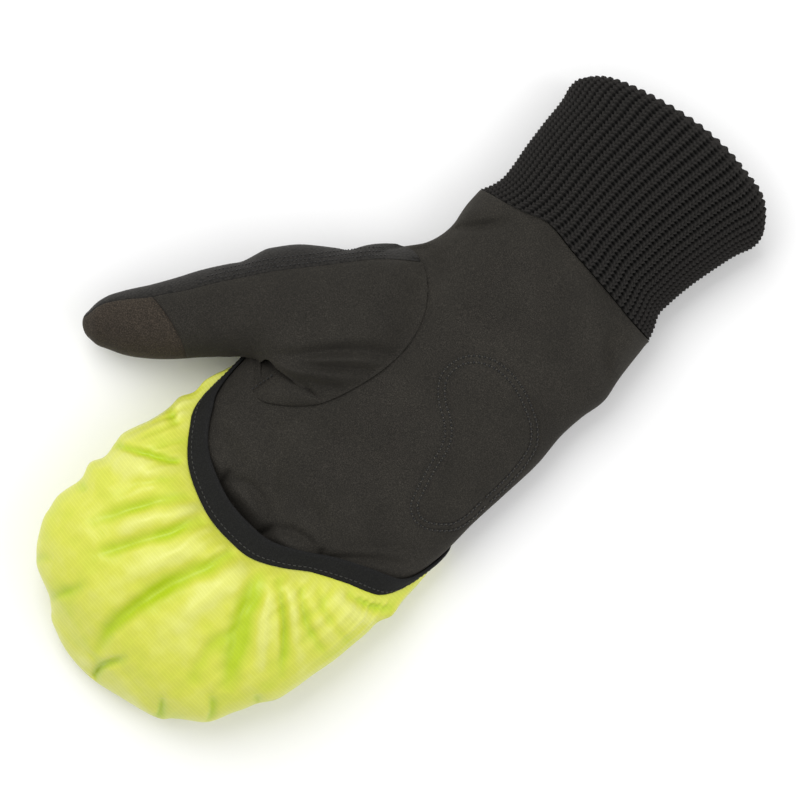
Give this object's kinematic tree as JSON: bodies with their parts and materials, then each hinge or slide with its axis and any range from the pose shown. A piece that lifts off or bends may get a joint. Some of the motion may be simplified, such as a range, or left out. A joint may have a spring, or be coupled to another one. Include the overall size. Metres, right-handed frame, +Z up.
{
  "type": "cycling mitten",
  "caption": "Right-hand winter cycling glove with a ribbed knit cuff and a thin bright mitten cover drawn over the fingers, lying palm up.",
  "frame": {"origin": "middle of the outline on the surface that the mitten lies on", "axes": "+Y from the cuff to the fingertips, +X towards the thumb's side, +Z up out of the palm"},
  "size_m": [0.1532, 0.2982, 0.0434],
  "materials": {
    "rib_knit": "black chunky rib knit, matt and slightly fuzzy",
    "softshell": "dark brownish grey brushed softshell, matt with a fine speckle",
    "textured_knit": "near-black knit with a fine raised texture, matt",
    "touch_patch": "dark brown brushed knit with lighter fibres, matt",
    "foam_pad": "dark foam sheet, matt, inside the palm",
    "cover_fabric": "high-visibility yellow-green windproof ripstop, thin, with a soft sheen",
    "elastic_binding": "black woven elastic tape, satin to matt"
  },
  "bodies": {
    "root": {"knit_cuff": "rib_knit", "palm_panel": "softshell", "back_panel": "softshell", "thumb_front": "softshell", "thumb_back": "textured_knit", "thumb_tip_patch": "touch_patch", "thumb_gusset": "softshell", "palm_pad": "foam_pad", "mitten_cover": "cover_fabric", "mouth_binding": "elastic_binding"}
  },
  "joints": []
}
